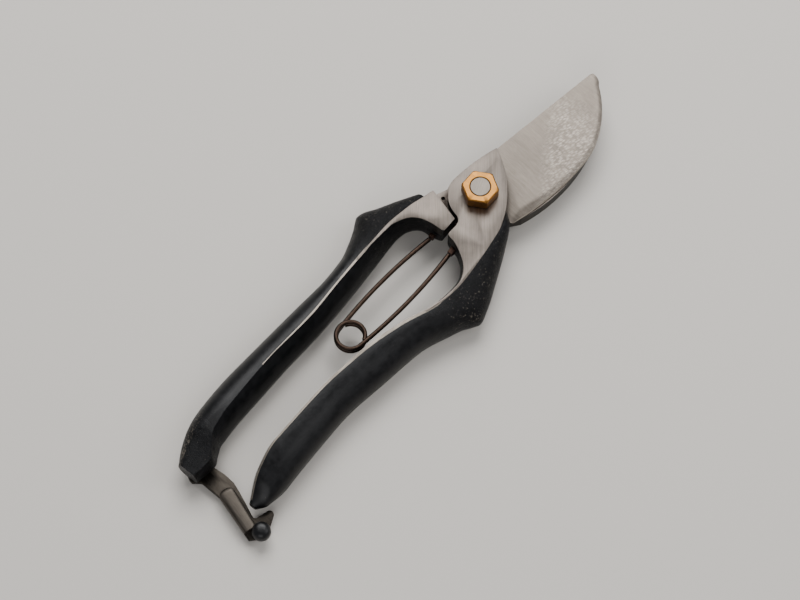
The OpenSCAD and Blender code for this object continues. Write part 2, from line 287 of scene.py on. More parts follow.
# %% Black lacquer
def wear_and_painted_glint(tree, place, along, stretch_mm, facing, amount):
    """Extra bare-steel chips along a stretch of X on faces that point one way: a painted glint standing
    for the highlight there, on top of real wear.
    """
    begins = between(tree, along.outputs["X"], stretch_mm[0] * MM, stretch_mm[1] * MM)
    ends = between(tree, along.outputs["X"], stretch_mm[3] * MM, stretch_mm[2] * MM)
    faces_out = add(tree, "ShaderNodeVectorMath", {1: Vector(facing).normalized()},
                    {0: place.outputs["Normal"]}, operation="DOT_PRODUCT")
    crest = between(tree, faces_out.outputs["Value"], 0.90, 0.99, 0.0, amount)
    return combined(tree, combined(tree, begins, ends), crest)


def black_lacquer(name, rough_from_mm, rough_to_mm, end_mm=None, wear_and_glint=None):
    """Lacquer that is rough and chipped between two places along X, and beyond end_mm if given."""
    material, tree, shader = start_material(name, 0.0, 0.36)
    place = add(tree, "ShaderNodeTexCoord")
    along = add(tree, "ShaderNodeSeparateXYZ", None, {"Vector": place.outputs["Object"]})
    forged = between(tree, along.outputs["X"], rough_from_mm * MM, rough_to_mm * MM)
    if end_mm is not None:
        end = between(tree, along.outputs["X"], (end_mm + 4.0) * MM, (end_mm - 6.0) * MM, 0.0, 0.8)
        forged = combined(tree, forged, end, "MAXIMUM")
    tree.links.new(between(tree, forged, 0.0, 1.0, 0.27, 0.12), shader.inputs["Specular IOR Level"])
    scale = blotches(tree, place, 2.2, 6.0, 0.68)
    grit = blotches(tree, place, 0.35, 3.0, 0.6)
    hammer = add(tree, "ShaderNodeTexVoronoi", {"Scale": 1.0 / (7.0 * MM), "Smoothness": 1.0},
                 {"Vector": place.outputs["Object"]}, feature="SMOOTH_F1")
    skin = add(tree, "ShaderNodeMix", {"Factor": 0.35},
               {"A": scale, "B": grit}, data_type="FLOAT")
    skin = add(tree, "ShaderNodeMix", {"Factor": 0.25},
               {"A": skin.outputs["Result"], "B": hammer.outputs["Distance"]}, data_type="FLOAT")
    bump = add(tree, "ShaderNodeBump", {"Distance": 0.9 * MM},
               {"Height": skin.outputs["Result"], "Strength": between(tree, forged, 0.0, 1.0, 0.10, 0.9)})
    tree.links.new(bump.outputs["Normal"], shader.inputs["Normal"])
    tree.links.new(between(tree, scale, 0.35, 0.7, 0.30, 0.48), shader.inputs["Roughness"])
    coat = add(tree, "ShaderNodeValToRGB", None, {"Fac": scale})
    ramp_colours(coat, [(0.35, "#050506"), (0.65, "#0f0f11")])
    speck = blotches(tree, place, 0.8, 5.0, 0.78)
    chipped = combined(tree, speck, between(tree, forged, 0.0, 1.0, 0.0, 0.085), "ADD")
    gathered = between(tree, blotches(tree, place, 5.0, 2.0), 0.35, 0.65, -0.035, 0.02)
    chipped = combined(tree, chipped, gathered, "ADD")
    # painted glint: more bare steel on the faces that point one way, added to the real chips
    if wear_and_glint is not None:
        chipped = combined(tree, chipped, wear_and_painted_glint(tree, place, along, *wear_and_glint), "ADD")
    bare = add(tree, "ShaderNodeValToRGB", None, {"Fac": chipped})
    ramp_colours(bare, [(0.69, 0.0), (0.75, 1.0)])
    colour = add(tree, "ShaderNodeMix", {"B": linear("#6b655d")},
                 {"Factor": bare.outputs["Color"], "A": coat.outputs["Color"]}, data_type="RGBA")
    tree.links.new(colour.outputs[2], shader.inputs["Base Color"])
    tree.links.new(bare.outputs["Color"], shader.inputs["Metallic"])
    return material


ROUGH_FROM, ROUGH_TO = -52.0, -36.0
# the last arguments add a painted glint of bare steel on faces that point one way: along the wing on the
# right handle, over the end's shoulder on the left
LACQUER = black_lacquer("black_lacquer_on_forging", ROUGH_FROM, ROUGH_TO,
                        wear_and_glint=((-47.0, -41.0, -36.0, -33.0), (-0.3, -0.75, 0.6), 0.06))
END_LACQUER = black_lacquer("black_lacquer_worn_with_painted_glint_at_the_end", ROUGH_FROM, ROUGH_TO, -121.0,
                            ((-140.0, -136.0, -122.0, -104.0), (-0.35, 0.6, 0.72), 0.13))
KNOB_LACQUER = black_lacquer("black_lacquer_on_knob", ROUGH_FROM, ROUGH_TO)
print("lacquers made")

# %% [markdown]
# Brass, filed hexagonal and rubbed with a cloth: warm, satin and a little uneven. The spring is
# oil-blacked wire, a very dark brown metal.

# %% Brass, wire and floor
def mottled_metal(name, light, dark, roughness, mark_mm, bump_mm):
    """A metal with an uneven, blotchy surface and no direction in its marks."""
    material, tree, shader = start_material(name, 1.0, roughness)
    place = add(tree, "ShaderNodeTexCoord")
    mottle = blotches(tree, place, mark_mm, 6.0, 0.7)
    tone = add(tree, "ShaderNodeValToRGB", None, {"Fac": mottle})
    ramp_colours(tone, [(0.32, dark), (0.66, light)])
    tree.links.new(tone.outputs["Color"], shader.inputs["Base Color"])
    gloss = between(tree, mottle, 0.3, 0.7, roughness - 0.08, roughness + 0.12)
    tree.links.new(gloss, shader.inputs["Roughness"])
    bump = add(tree, "ShaderNodeBump", {"Strength": 0.5, "Distance": bump_mm * MM},
               {"Height": mottle})
    tree.links.new(bump.outputs["Normal"], shader.inputs["Normal"])
    return material


BRASS = mottled_metal("brass_filed_satin", "#a8773c", "#7d5528", 0.36, 1.6, 0.02)
WIRE = mottled_metal("spring_wire_oil_blacked", "#473a32", "#241c18", 0.38, 0.8, 0.03)
SEAT_STEEL = mottled_metal("seat_steel_browned", "#5a463e", "#33261f", 0.55, 0.7, 0.06)
FLOOR, floor_tree, floor_shader = start_material("floor_paper_matt", 0.0, 0.75)
floor_shader.inputs["Base Color"].default_value = linear("#c9c4bd")
print("brass, wire and floor made")

# %% [markdown]
# ## The two forged handles
# A forging has one skin that flows from a flat bow at the pivot into a rounded grip. It is made as a
# loft: a closed ring of points is worked out at many places along X, and neighbouring rings are
# joined with quads. Each ring comes from six curves, which are smooth lines through a few measured
# places: the parting line on the inside, the inner and outer edge of the ground ridge on top, the
# widest line on the outside, and the lowest and highest levels.

# %% Curve helpers
def smooth(table, x):
    """Value at x of a smooth curve without overshoot through rows (x, value), x falling."""
    i = 0
    while i < len(table) - 2 and x < table[i + 1][0]:
        i += 1

    def steep(k):
        def rise(j):
            return (table[j][1] - table[j - 1][1]) / (table[j][0] - table[j - 1][0])
        if k == 0:
            return rise(1)
        if k == len(table) - 1:
            return rise(k)
        s, t = rise(k), rise(k + 1)
        return 0.0 if s * t <= 0.0 else 2.0 * s * t / (s + t)

    h = table[i + 1][0] - table[i][0]
    t = (x - table[i][0]) / h
    return ((2 * t ** 3 - 3 * t ** 2 + 1) * table[i][1] + (t ** 3 - 2 * t ** 2 + t) * steep(i) * h
            + (3 * t ** 2 - 2 * t ** 3) * table[i + 1][1] + (t ** 3 - t ** 2) * steep(i + 1) * h)


def steps(start, end, count):
    """Evenly spaced values from start towards end, without end itself."""
    return [start + (end - start) * i / count for i in range(count)]


def arc(a, b, c, count):
    """Points of the circle through a, b and c, from a to c."""
    d = 2 * (a[0] * (b[1] - c[1]) + b[0] * (c[1] - a[1]) + c[0] * (a[1] - b[1]))
    squares = [p[0] ** 2 + p[1] ** 2 for p in (a, b, c)]
    mx = (squares[0] * (b[1] - c[1]) + squares[1] * (c[1] - a[1]) + squares[2] * (a[1] - b[1])) / d
    my = (squares[0] * (c[0] - b[0]) + squares[1] * (a[0] - c[0]) + squares[2] * (b[0] - a[0])) / d
    radius = math.hypot(a[0] - mx, a[1] - my)
    first, middle, last = (math.atan2(p[1] - my, p[0] - mx) for p in (a, b, c))
    sweep = (last - first) % (2 * math.pi)
    if (middle - first) % (2 * math.pi) > sweep:
        sweep -= 2 * math.pi
    return [(mx + radius * math.cos(first + sweep * i / count),
             my + radius * math.sin(first + sweep * i / count)) for i in range(count + 1)]


# %% Mesh helpers
def ring_quads(rings, sides, closed=False):
    """Quads that join each ring of points to the next one, and the last to the first if closed."""
    quads = []
    for k in range(rings if closed else rings - 1):
        here, there = k * sides, (k + 1) % rings * sides
        for i in range(sides):
            j = (i + 1) % sides
            quads.append([here + i, here + j, there + j, there + i])
    return quads


def ring_caps(rings, sides):
    """A cap over the first ring and one over the last."""
    return [list(range(sides))[::-1], list(range((rings - 1) * sides, rings * sides))]


def mesh_piece(name, points_mm, faces, materials, face_material=None, sharp_deg=38.0):
    """A mesh object at the origin from points in millimetres, smooth except at sharp edges."""
    mesh = bpy.data.meshes.new(name)
    mesh.from_pydata([Vector(p) * MM for p in points_mm], [], faces)
    for material in materials:
        mesh.materials.append(material)
    if face_material:
        for polygon, index in zip(mesh.polygons, face_material):
            polygon.material_index = index
    work = bmesh.new()
    work.from_mesh(mesh)
    bmesh.ops.remove_doubles(work, verts=work.verts, dist=0.0005 * MM)
    bmesh.ops.recalc_face_normals(work, faces=work.faces)
    work.to_mesh(mesh)
    work.free()
    mesh.polygons.foreach_set("use_smooth", [True] * len(mesh.polygons))
    mesh.set_sharp_from_angle(angle=math.radians(sharp_deg))
    piece = bpy.data.objects.new(name, mesh)
    bpy.context.scene.collection.objects.link(piece)
    return piece


def bake(piece, sharp_deg=38.0):
    """Turn a piece's modifiers into plain mesh."""
    deps = bpy.context.evaluated_depsgraph_get()
    plain = bpy.data.meshes.new_from_object(piece.evaluated_get(deps))
    piece.modifiers.clear()
    piece.data = plain
    plain.polygons.foreach_set("use_smooth", [True] * len(plain.polygons))
    plain.set_sharp_from_angle(angle=math.radians(sharp_deg))
    return piece


def soften(piece, width_mm, segments=2, angle_deg=30.0, sharp_deg=38.0):
    """Break the hard edges of a piece with a small bevel, as a file or a wheel does."""
    bevel = piece.modifiers.new("broken_edges", "BEVEL")
    bevel.width = width_mm * MM
    bevel.segments = segments
    bevel.limit_method = "ANGLE"
    bevel.angle_limit = math.radians(angle_deg)
    bevel.harden_normals = False
    return bake(piece, sharp_deg)


def plate(name, outline, z_low, z_high, materials, top_material=0, side_material=0):
    """A flat plate from an outline and two levels, all in millimetres."""
    n = len(outline)
    points = [(x, y, z_low) for x, y in outline] + [(x, y, z_high) for x, y in outline]
    faces = [list(range(n))[::-1], list(range(n, 2 * n))]
    faces += [[i, (i + 1) % n, n + (i + 1) % n, n + i] for i in range(n)]
    kinds = [side_material, top_material] + [side_material] * n
    return mesh_piece(name, points, faces, materials, kinds)


def carve(piece, outline, z_low, z_high):
    """Cut a prism with this outline out of a piece, everything in millimetres."""
    cutter = plate("cutter", outline, z_low, z_high, [])
    cut = piece.modifiers.new("carved", "BOOLEAN")
    cut.operation, cut.solver, cut.object = "DIFFERENCE", "EXACT", cutter
    bake(piece)
    bpy.data.objects.remove(cutter)
    return piece


def drill(piece, x, y, radius, z_low=-5.0, z_high=40.0, sides=64):
    """Cut a round hole through a piece, everything in millimetres."""
    angles = [2 * math.pi * i / sides for i in range(sides)]
    ring = [(x + radius * math.cos(a), y + radius * math.sin(a)) for a in angles]
    return carve(piece, ring, z_low, z_high)


print("helpers ready")

# %% Levels and outlines shared by the pieces
TOP_Z, LAP_Z, LOW_Z = 14.5, 9.8, 4.5
PLATE_TOP = LAP_Z - 0.3
BOLT_R = 3.5
LEVER_Z, LEVER_T = 1.2, 1.8
END_Z = 3.3
RIVET = (-134.0, 11.5)
RIGHT_LEN, LEFT_LEN = 132.4, 137.6
GUARD_Y = 28.4
QUARTER_STEPS = 12


def ring_at(x, lines):
    """One closed ring of the forging at x: ridge, inner face, underside, outer face."""
    inner, ridge_in, ridge_out, outer, low, high = (smooth(table, x) for table in lines)
    middle = low + 0.45 * (high - low)
    belly_in, belly_out = inner + 0.38 * (outer - inner), inner + 0.62 * (outer - inner)
    quarter = [math.pi / 2 * i / QUARTER_STEPS for i in range(QUARTER_STEPS + 1)]
    ring = []
    # inner face: nearly flat from the ridge down to the parting line, with a little crown
    for t in (i / QUARTER_STEPS for i in range(QUARTER_STEPS + 1)):
        crown = 0.06 * math.sin(math.pi * t)
        ring.append((x, ridge_in + (inner - ridge_in) * (t + crown), high + (middle - high) * (t - crown)))
    # underside: two quarter rounds with a flat between them
    ring += [(x, belly_in + (inner - belly_in) * math.cos(a), middle + (low - middle) * math.sin(a))
             for a in quarter[1:]]
    ring += [(x, belly_out + (outer - belly_out) * math.sin(a), low + (middle - low) * (1 - math.cos(a)))
             for a in quarter]
    # outer face: one round from the widest line up to the ridge
    ring += [(x, ridge_out + (outer - ridge_out) * math.cos(a), middle + (high - middle) * math.sin(a))
             for a in quarter[1:]]
    return ring


def forging(name, stations, lines, lacquer, bare_from, bare_to):
    """Loft rings into a handle: the ridge is bare steel from X = bare_from back to bare_to."""
    rings = [ring_at(x, lines) for x in stations]
    n = len(rings[0])
    points = [p for ring in rings for p in ring]
    faces = ring_quads(len(rings), n) + [cap[::-1] for cap in ring_caps(len(rings), n)]
    # the ridge is the last quad of each ring, where the ring closes
    kinds = [1 if i == n - 1 and bare_from > x > bare_to else 0 for x in stations[:-1] for i in range(n)]
    kinds += [0, 0]
    return mesh_piece(name, points, faces, [lacquer, RIDGE_STEEL], kinds, 32.0)


# %% Right handle
# the six lines in order: inner middle, ridge's inner edge, ridge's outer edge, outer middle, low, high
right_lines = [
    [(1.3, -9.4), (-3, -12.4), (-9, -12), (-13, -9.5), (-16, -4), (-19, -1.2), (-19.9, -4.7),
     (-21.8, -8.2), (-24, -10.8), (-27, -12.4), (-31, -13), (-40, -12.2), (-55, -7), (-70, -3.6),
     (-92, -1.6), (-112, -1.4), (-122, -3.4), (-RIGHT_LEN, -8.6)],
    [(1.3, -9.5), (-3, -12.6), (-9, -12.6), (-13, -10), (-16, -4.2), (-19, -1.2), (-19.9, -4.7),
     (-21.8, -8.4), (-24, -11.6), (-27, -14), (-31, -15.2), (-40, -14.2), (-55, -8.8), (-70, -5.2),
     (-92, -3.1), (-112, -3), (-122, -4.8), (-RIGHT_LEN, -9)],
    [(1.3, -10.3), (-3, -13.3), (-9, -14.2), (-19, -15.4), (-31, -16.2), (-40, -15.2), (-55, -9.9),
     (-70, -6.2), (-92, -3.8), (-112, -3.6), (-122, -5.4), (-RIGHT_LEN, -9.5)],
    [(1.3, -11.0), (-0.5, -13.4), (-3, -15.4), (-9, -18.4), (-19, -22.8), (-31, -GUARD_Y + 0.9),
     (-34.6, -GUARD_Y), (-36.6, -GUARD_Y + 1), (-40, -25), (-44, -23.2), (-55, -19), (-70, -16.8),
     (-92, -14.2), (-112, -14.6), (-122, -15), (-129, -14), (-RIGHT_LEN, -11.4)],
    [(1.3, LAP_Z + 0.01), (-3, LAP_Z - 2), (-9, 4), (-19, 1.4), (-31, 0.3), (-55, 0), (-112, 0),
     (-121, 0.4), (-128.4, END_Z + 0.1), (-RIGHT_LEN, END_Z + 0.4)],
    [(1.3, 11.2), (-3, TOP_Z - 0.6), (-9, TOP_Z - 0.04), (-19, TOP_Z - 0.04), (-55, TOP_Z),
     (-112, TOP_Z), (-124, 12.6), (-RIGHT_LEN, END_Z + 3.6)]]
right_stations = (steps(1.3, -3, 8) + steps(-3, -19, 24) + steps(-19, -20, 8) + steps(-20, -31, 34)
                  + steps(-31, -44, 24) + steps(-44, -118, 50) + steps(-118, -RIGHT_LEN, 26)
                  + [-RIGHT_LEN])
right_forging = forging("right_handle_forging", right_stations, right_lines, LACQUER, -40.0, -131.0)
carve(right_forging, arc((12.2, 0.0), (-8.6, 8.6), (-8.6, -8.6), 40)
      + [(-7.0, -11.5), (-5.9, -14.0), (-5.1, -16.2), (-4.8, -18.0), (5.0, -20.0)], -5.0, LAP_Z)
print("right handle:", len(right_forging.data.polygons), "faces")

# %% Left handle
left_lines = [
    [(-13.05, 0.6), (-19, 0.7), (-19.2, 5), (-20.2, 8.6), (-22.2, 11.2), (-25, 12.8), (-29, 13.4),
     (-40, 12.8), (-55, 12), (-70, 11.6), (-92, 12.2), (-112, 12.2), (-122, 11.4), (-127, 9.4),
     (-130, 8), (-LEFT_LEN, 9.2)],
    [(-13.05, 0.6), (-19, 0.8), (-19.2, 5.2), (-20.2, 9.6), (-22.2, 12.7), (-25, 14.6), (-29, 16),
     (-40, 16.6), (-55, 16.4), (-70, 15.8), (-92, 16.9), (-112, 16.4), (-122, 15), (-127, 11.6),
     (-130, 9.6), (-LEFT_LEN, 10.4)],
    [(-13.05, 14.1), (-19, 15.8), (-31, 17.4), (-40, 17.4), (-55, 17), (-70, 16.4), (-92, 17.2),
     (-112, 17.6), (-122, 18), (-130, 17.2), (-LEFT_LEN, 15)],
    [(-13.05, 17.6), (-19, 21.9), (-25, 25.6), (-30.2, GUARD_Y + 0.45), (-31.6, GUARD_Y + 0.64),
     (-33, GUARD_Y), (-36.4, 26.6), (-41, 24.8), (-48, 22.8), (-57, 22.3), (-70, 23.2), (-92, 24.5),
     (-107, 25.2), (-118, 24.8), (-126, 23.2), (-132, 20.8), (-LEFT_LEN, 17.4)],
    [(-13.05, LOW_Z), (-19, 2.2), (-31, 0.3), (-48, 0), (-112, 0), (-120, 0.6), (-126, END_Z),
     (-LEFT_LEN, END_Z)],
    [(-13.05, TOP_Z - 0.04), (-19, TOP_Z - 0.04), (-55, TOP_Z), (-112, TOP_Z), (-122, 13.8),
     (-130, 12), (-LEFT_LEN, 11)]]
left_stations = (steps(-13.05, -19, 10) + steps(-19, -20.2, 10) + steps(-20.2, -31, 36)
                 + steps(-31, -48, 26) + steps(-48, -118, 48) + steps(-118, -LEFT_LEN, 34)
                 + [-LEFT_LEN])
left_forging = forging("left_handle_forging", left_stations, left_lines, END_LACQUER, -40.0, -94.0)
drill(left_forging, RIVET[0], RIVET[1], 2.0, -1.0, 9.0, 32)
print("left handle:", len(left_forging.data.polygons), "faces")

# %% [markdown]
# ## The flats round the pivot
# The boss on the blade half, and the stop block on the hook half, are ground to one level. Each is a
# plate that runs out along its bow in a thin crescent. Its rim is broken with a small bevel, so it
# catches the light all round.

# %% Boss and its crescent
def line_from(table, stations):
    """Points of one of a handle's lines at these places along X."""
    return [(x, smooth(table, x)) for x in stations]


bow_xs = steps(-19.0, -20.0, 5) + steps(-20.0, -31.0, 22) + steps(-31.0, -46.0, 12) + [-46.0]
boss_edge = (arc((17.2, 6.2), (5.2, -8.0), (-7.0, -13.9), 36)
             + line_from(right_lines[2], steps(-13.0, -19.0, 4))
             + line_from(right_lines[2], bow_xs)
             + line_from(right_lines[1], bow_xs)[::-1]
             + [(-18.2, -1.1), (-14.6, -1.2)]
             + arc((-13.2, -0.9), (-12.2, -0.1), (-11.6, 1.2), 8)
             + arc((-11.3, 2.2), (-8.2, 7.4), (-1.8, 10.0), 22)
             + arc((0.4, 10.0), (9.0, 8.6), (17.2, 6.2), 10)[:-1])
# the boss's sides get the dark steel, painted shade
boss = plate("boss_flat", boss_edge, LAP_Z, TOP_Z, [BOSS_STEEL, SHADE_DARK_STEEL], 0, 1)
drill(boss, 0.0, 0.0, BOLT_R + 0.05)
soften(boss, 0.14, 2)
print("boss:", len(boss.data.polygons), "faces")

# %% Stop block and its crescent
block_edge = ([(-9.2, 13.1), (-12.9, 0.6), (-18.6, 0.6)]
              + line_from(left_lines[1], steps(-19.05, -20.2, 6) + steps(-20.2, -31.0, 22)
                          + steps(-31.0, -46.0, 12) + [-46.0])
              + line_from(left_lines[2], steps(-46.0, -13.1, 24) + [-13.1]))
# the stop block's sides get the dark steel, painted shade
block = plate("stop_block_flat", block_edge, PLATE_TOP + 0.01, TOP_Z, [BOSS_STEEL, SHADE_DARK_STEEL], 0, 1)
soften(block, 0.14, 2)
print("stop block:", len(block.data.polygons), "faces")

# %% [markdown]
# ## Blade
# The blade's broad face falls from a thick straight spine to a thin curved edge. Along the edge it
# rolls over into a bevel, and by the boss it rolls down into a slanted heel, both with soft folds.
# A very narrow honed line finishes the edge. The blade is a grid: strips run from the boundary to the
# boss and the spine, and one function gives the height of the ground surface anywhere.

# %% Blade
SPINE_T, EDGE_T, FACE_W = 3.7, 1.0, 25.0
FOLD_SLOPE, HONED_T = 0.24, 0.30
CORNER_POINTS = 13
SPINE_A, SPINE_B = (17.0, 6.3), (60.5, -1.2)
HEEL_A, HEEL_B = (-0.4, -13.5), (12.4, -2.1)
rim = ([(2.4 - 2.8 * i / 8, -9.4 - 4.1 * i / 8) for i in range(8)]
       + arc((-0.4, -13.5), (-0.3, -14.4), (0.4, -14.9), 6)
       + arc((0.4, -14.9), (18.6, -19.1), (35.4, -19.9), 60)[1:]
       + arc((38.0, -19.6), (50.6, -14.6), (59.6, -6.4), 40)
       + arc((60.9, -5.4), (61.88, -3.6), (61.98, -1.8), 8))
cutting_edge = rim[CORNER_POINTS:]


def off_line(a, b, x, y):
    """How far (x, y) lies along the line from a to b, and how far to its right."""
    ux, uy = b[0] - a[0], b[1] - a[1]
    size = math.hypot(ux, uy)
    return ((x - a[0]) * ux + (y - a[1]) * uy) / size, ((x - a[0]) * uy - (y - a[1]) * ux) / size


def rolled(slope, reach, radius):
    """Drop of a slanted facet whose fold is rounded: reach is the distance inside the fold."""
    return slope * reach * reach / (reach + radius) if reach > 0.0 else 0.0


def face_level(x, y):
    """Height of the blade's ground surface above its flat back."""
    fall = off_line(SPINE_A, SPINE_B, x, y)[1]
    level = SPINE_T - (SPINE_T - EDGE_T) * fall / FACE_W
    along, right = off_line(HEEL_A, HEEL_B, x, y)
    heel = rolled(FOLD_SLOPE, 5.2 - 0.28 * along - right, 1.6) if along < 18.0 else 0.0
    near = min(math.hypot(x - ex, y - ey) for ex, ey in cutting_edge)
    width = 2.9 - 1.3 * min(1.0, max(0.0, (x - 4.0) / 22.0))
    return max(HONED_T, level - math.hypot(heel, rolled(FOLD_SLOPE, width - near, 1.0)))


def blade_mesh():
    """A grid of strips from the rim up to the boss and the spine, closed underneath."""
    rows = 24
    target_path = [(3.0, -8.8), (16.9, 6.2), SPINE_B]
    legs = [math.dist(target_path[k], target_path[k + 1]) for k in (0, 1)]
    travelled = [0.0]
    for k in range(1, len(rim)):
        travelled.append(travelled[-1] + math.dist(rim[k - 1], rim[k]))
    # each pair says how far along the rim and how far along the target path the two walks are
    stops = [(0.0, 0.0), (6.6, 2.0), (24.0, legs[0]), (travelled[-1], sum(legs))]

    def target(s):
        for (s0, t0), (s1, t1) in zip(stops, stops[1:]):
            if s <= s1:
                t = t0 + (t1 - t0) * (s - s0) / (s1 - s0)
                break
        k = 0 if t < legs[0] else 1
        f = (t - (legs[0] if k else 0.0)) / legs[k]
        a, b = target_path[k], target_path[k + 1]
        return a[0] + (b[0] - a[0]) * f, a[1] + (b[1] - a[1]) * f

    points, faces, kinds = [], [], []
    for (ex, ey), s in zip(rim, travelled):
        tx, ty = target(min(s, travelled[-1]))
        points += [(ex, ey, LAP_Z), (ex, ey, LAP_Z + 0.15)]
        for k in range(1, rows + 1):
            t = (k / rows) ** 1.8
            x, y = ex + (tx - ex) * t, ey + (ty - ey) * t
            points.append((x, y, LAP_Z + face_level(x, y) * (0.62 if k == 1 else 1.0)))
        points.append((tx, ty, LAP_Z))
    n = rows + 3
    for i in range(len(rim) - 1):
        for k in range(n - 1):
            a = i * n + k
            faces.append([a, a + n, a + n + 1, a + 1])
            kinds.append(1 if k in (0, 1, 2) and i > CORNER_POINTS else 0)
        faces.append([i * n + n - 1, (i + 1) * n + n - 1, (i + 1) * n, i * n])
        kinds.append(0)
    faces += [list(range(n)), list(range((len(rim) - 1) * n, len(rim) * n))[::-1]]
    kinds += [0, 0]
    return mesh_piece("blade_ground", points, faces, [BLADE_STEEL, BEVEL_STEEL], kinds, 30.0)


blade = blade_mesh()
print("blade:", len(blade.data.polygons), "faces")

# %% [markdown]
# ## Bolt and nut
# The nut is a brass hexagon with its top edge just broken. The bolt's end is cut off
# and filed level with it.

# %% Nut and bolt
NUT_Z, NUT_H, NUT_AF, NUT_TURN = 14.8, 4.9, 11.4, 59.0


def turned(name, profile, materials, sides=72):
    """A lathe-turned piece about the pivot axis from (radius, z) pairs, closed at the axis."""
    angles = [2 * math.pi * i / sides for i in range(sides)]
    points = [(radius * math.cos(a), radius * math.sin(a), z) for radius, z in profile for a in angles]
    faces = ring_quads(len(profile), sides) + ring_caps(len(profile), sides)
    return mesh_piece(name, points, faces, materials)


def moved(piece, x, y, z=0.0):
    """Shift a piece's mesh, in millimetres, so that its object stays at the origin."""
    for vertex in piece.data.vertices:
        vertex.co += Vector((x, y, z)) * MM
    return piece


def hexagon_radius(angle, flats, corner):
    """Distance to the side of a hexagon whose corners are rounded off."""
    near = (angle - math.radians(NUT_TURN) + math.pi / 6) % (math.pi / 3) - math.pi / 6
    straight = flats / 2 / math.cos(math.pi / 6 - abs(near))
    return min(straight, flats / 2 / math.cos(math.pi / 6) - corner)


def nut_mesh():
    """The hexagon in rings from its foot to its top, then down the bore."""
    sides = 144
    levels = [(0.0, 0.12), (0.2, 0.0), (NUT_H - 0.6, 0.0), (NUT_H - 0.25, 0.22), (NUT_H - 0.06, 0.46),
              (NUT_H, 0.62)]
    bore = ((BOLT_R + 0.28, NUT_H - 0.02), (BOLT_R + 0.06, NUT_H - 0.28), (BOLT_R + 0.06, 0.0))
    angles = [math.radians(NUT_TURN) + 2 * math.pi * i / sides for i in range(sides)]
    points = []
    for z, inset in levels:
        for a in angles:
            radius = hexagon_radius(a, NUT_AF, 0.10 + inset * 0.5) - inset * 0.7
            points.append((radius * math.cos(a), radius * math.sin(a), NUT_Z + z))
    for radius, z in bore:
        points += [(radius * math.cos(a), radius * math.sin(a), NUT_Z + z) for a in angles]
    faces = ring_quads(len(levels) + len(bore), sides, closed=True)
    return mesh_piece("nut_brass", points, faces, [BRASS], None, 20.0)


nut = nut_mesh()
nut_top = NUT_Z + NUT_H
bolt = turned("bolt_ground_flush",
              [(6.1, 0.0), (6.5, 0.4), (6.5, 3.9), (5.9, 4.48), (BOLT_R, 4.49), (BOLT_R, nut_top - 0.25),
               (BOLT_R - 0.22, nut_top - 0.03), (0.01, nut_top)], [BOLT_STEEL])
print("nut:", len(nut.data.polygons), "faces; bolt:", len(bolt.data.polygons), "faces")

# %% [markdown]
# ## Spring
# One wire makes two long legs and a coil. Here it is two pieces that turn about the coil, as the
# frame's bodies do. Each is a round tube swept along a path: a slightly bowed leg that runs into one
# turn of the coil.

# %% Spring
WIRE_R = 0.8
LEFT_SEAT, RIGHT_SEAT = (-21.6, 4.6), (-22.9, -4.7)
COIL = (-66.7, 2.5)
COIL_R, LEG_R = 4.9, 190.0
COIL_LOW, COIL_HIGH = 6.9, 8.85


def sweep(name, path, radius, materials, sides=18):
    """A round tube along a path of (x, y, z), in millimetres."""
    points = []
    for k, here in enumerate(path):
        ahead = Vector(path[min(k + 1, len(path) - 1)]) - Vector(path[max(k - 1, 0)])
        ahead.normalize()
        side = ahead.cross(Vector((0, 0, 1))).normalized()
        up = side.cross(ahead)
        for i in range(sides):
            a = 2 * math.pi * i / sides
            points.append(Vector(here) + (side * math.cos(a) + up * math.sin(a)) * radius)
    faces = ring_quads(len(path), sides) + ring_caps(len(path), sides)
    return mesh_piece(name, points, faces, materials, None, 50.0)


def spring_wire(name, seat, side, z):
    """A leg bowed to the radius LEG_R, running tangentially into one turn round the coil's centre."""
    away = math.atan2(seat[1] - COIL[1], seat[0] - COIL[0])
    reach = math.dist(seat, COIL)
    back = LEG_R - COIL_R
    at_coil = math.acos((reach ** 2 + back ** 2 - LEG_R ** 2) / (2 * reach * back))
    bend = math.acos((back ** 2 + LEG_R ** 2 - reach ** 2) / (2 * back * LEG_R))
    foot = away - side * at_coil + math.pi
    centre = (COIL[0] - back * math.cos(foot), COIL[1] - back * math.sin(foot))
    run, turn = 36, 66
    path = []
    for i in range(run):
        a = foot - side * bend * (1 - i / run)
        path.append((centre[0] + LEG_R * math.cos(a), centre[1] + LEG_R * math.sin(a), z))
    for i in range(turn + 1):
        a = foot + side * math.radians(330) * i / turn
        path.append((COIL[0] + COIL_R * math.cos(a), COIL[1] + COIL_R * math.sin(a), z))
    return sweep(name, path, WIRE_R, [WIRE])


left_wire = spring_wire("spring_lower_wire", LEFT_SEAT, 1, COIL_LOW)
right_wire = spring_wire("spring_upper_wire", RIGHT_SEAT, -1, COIL_HIGH)
print("spring:", len(left_wire.data.polygons) + len(right_wire.data.polygons), "faces")


# %% Spring seats
def seat_block(name, at, z, near, far):
    """A small square stud; near and far are the bow wall's X at the stud's two sides."""
    x, y = at[0] + 0.4, at[1]
    outline = [(x, y - 1.0), (near, y - 1.1), (far, y + 1.1), (x, y + 0.9)]
    return soften(plate(name, outline, z - 1.1, z + 1.1, [SEAT_STEEL]), 0.2, 3)


left_seat = seat_block("left_seat_stud", LEFT_SEAT, COIL_LOW, -19.42, -19.7)
right_seat = seat_block("right_seat_stud", RIGHT_SEAT, COIL_HIGH, -20.4, -19.8)
print("seats made")

# %% [markdown]
# ## Latch
# A flat lever turns on a rivet under the left handle's end. A half-round bar with an arched end runs
# along it, its lip reaches round the right handle's tip, and a round knob takes the thumb.

